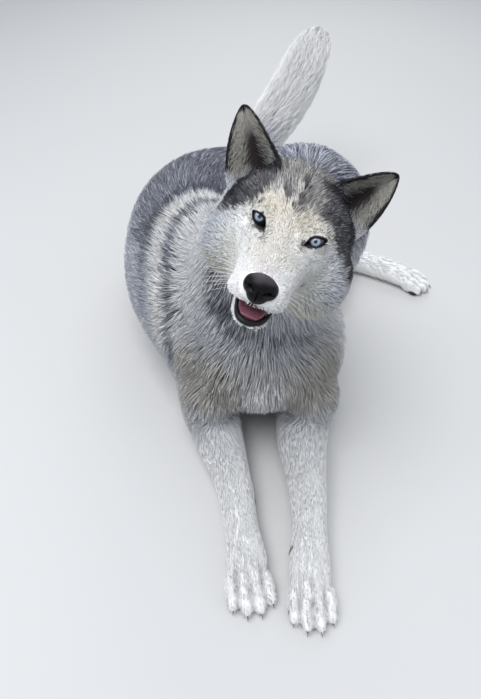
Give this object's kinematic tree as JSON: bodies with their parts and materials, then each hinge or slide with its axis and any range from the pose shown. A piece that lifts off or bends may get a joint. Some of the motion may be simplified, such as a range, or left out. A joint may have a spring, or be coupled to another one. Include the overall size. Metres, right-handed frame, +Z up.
{
  "type": "siberian husky",
  "caption": "Life-size still model of a Siberian husky lying on its chest with forelegs out, head lifted and tilted, mouth a little open, tail raised.",
  "frame": {"origin": "where the breastbone rests on the floor, midway between the elbows", "axes": "+Z up, the dog looks along -Y, its left side is +X"},
  "size_m": [0.653, 1.1924, 0.5395],
  "materials": {
    "coat_head": "short dense coat, cream mask with dark crown and cheeks",
    "coat_chin": "short cream coat on the chin",
    "lips": "moist black lower lip",
    "tongue": "moist pink tongue",
    "nose_leather": "grained black-brown nose leather, a little glossy",
    "eye": "ice-blue iris under a clear wet cornea",
    "ear": "dark-rimmed ear with grey-cream hair inside",
    "ruff": "long pale grey ruff with dark guard hair",
    "coat_body": "thick slate and pale grey coat",
    "coat_tail": "long white brush",
    "coat_forelegs": "short white coat",
    "coat_hindlegs": "white and grey coat"
  },
  "bodies": {
    "root": {"head": "coat_head", "lower_jaw": "coat_chin", "lips": "lips", "tongue": "tongue", "nose": "nose_leather", "eye_right": "eye", "eye_left": "eye", "ear_right": "ear", "ear_left": "ear", "neck": "ruff", "torso": "coat_body", "hips": "coat_body", "tail": "coat_tail", "foreleg_right": "coat_forelegs", "foreleg_left": "coat_forelegs", "hindleg_right": "coat_hindlegs", "hindleg_left": "coat_hindlegs"}
  },
  "joints": []
}
